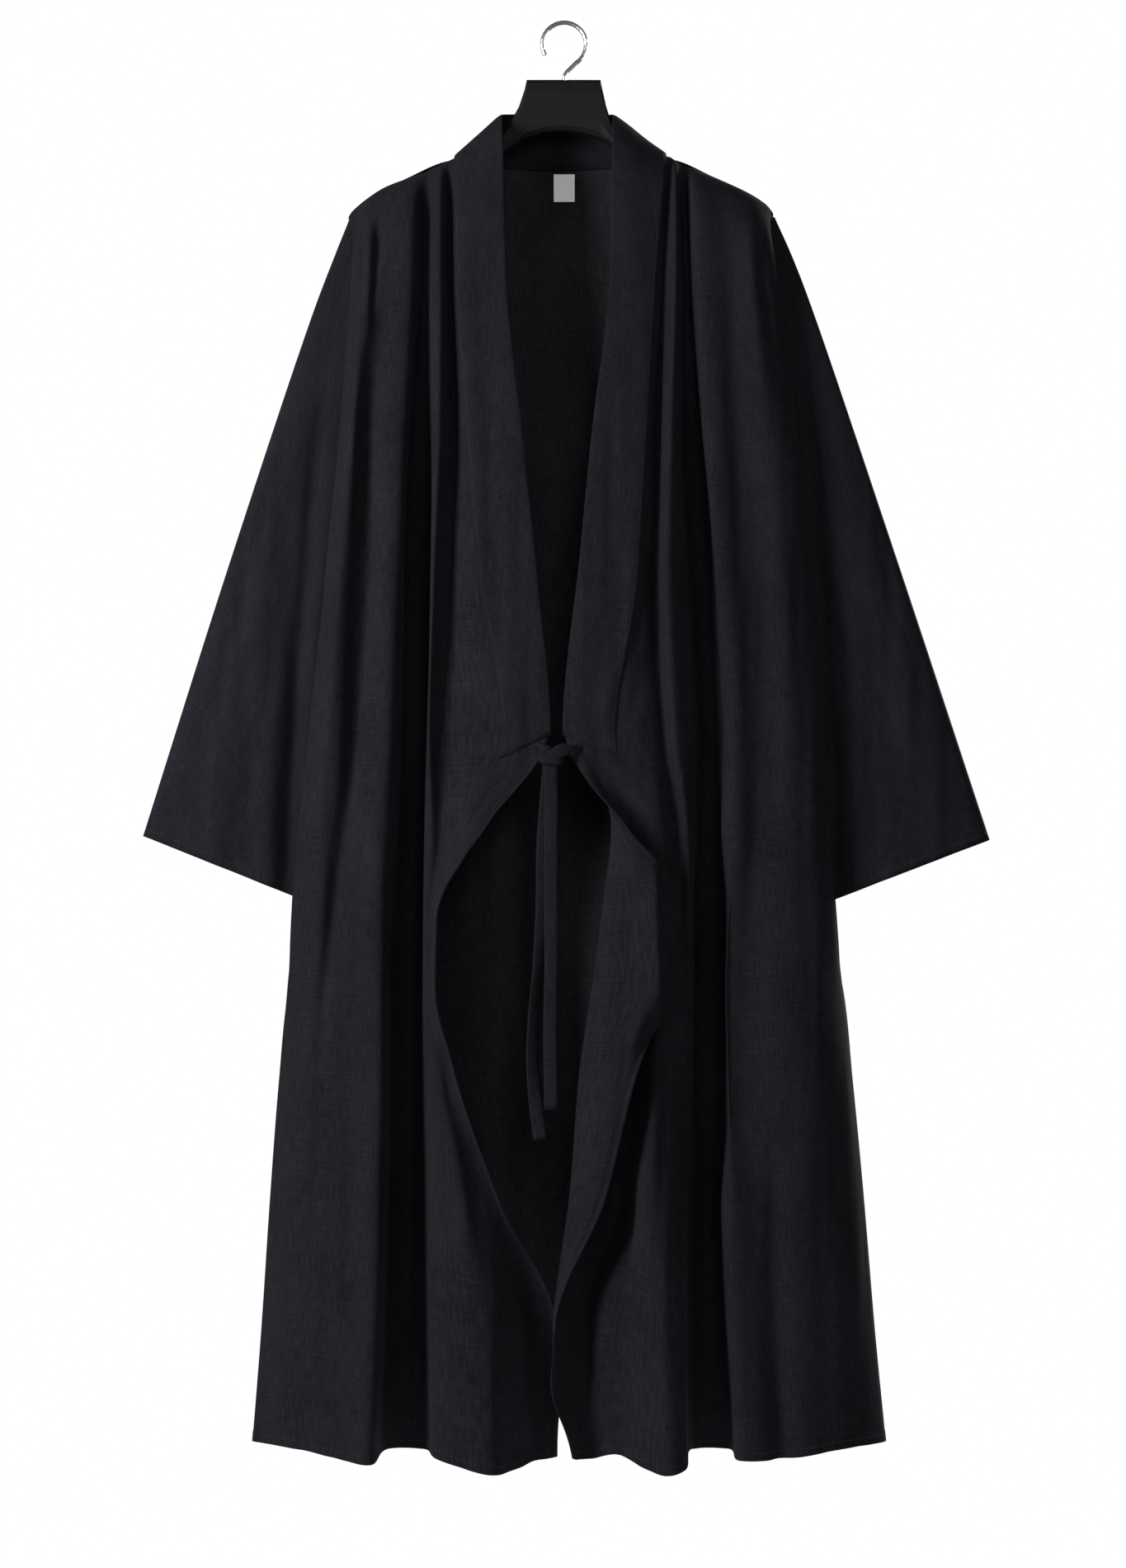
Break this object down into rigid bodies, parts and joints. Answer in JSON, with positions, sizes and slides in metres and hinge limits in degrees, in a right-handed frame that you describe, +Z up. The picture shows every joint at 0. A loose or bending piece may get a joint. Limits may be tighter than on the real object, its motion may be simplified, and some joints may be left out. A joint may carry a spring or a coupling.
{
  "type": "kimono robe on a hanger",
  "caption": "Long open kimono robe in dark woven cloth, with wide sleeves, a collar band and a narrow tie, hanging from a broad hanger.",
  "frame": {"origin": "inside of the hook's crown, where a rail carries it", "axes": "+Z up, the robe's front faces -Y, +X to the viewer's right"},
  "size_m": [0.7678, 0.1851, 1.3108],
  "materials": {
    "cloth": "matte plain weave, nearly black",
    "label_white": "matte white tape, bare",
    "hanger_black": "satin black",
    "hook_metal": "plain bent wire"
  },
  "bodies": {
    "root": {"back": "cloth", "front_left": "cloth", "front_right": "cloth", "sleeve_left": "cloth", "sleeve_right": "cloth", "collar_band": "cloth", "tie_left": "cloth", "tie_right": "cloth", "tie_knot": "cloth", "label": "label_white", "hanger": "hanger_black", "hook": "hook_metal"}
  },
  "joints": []
}
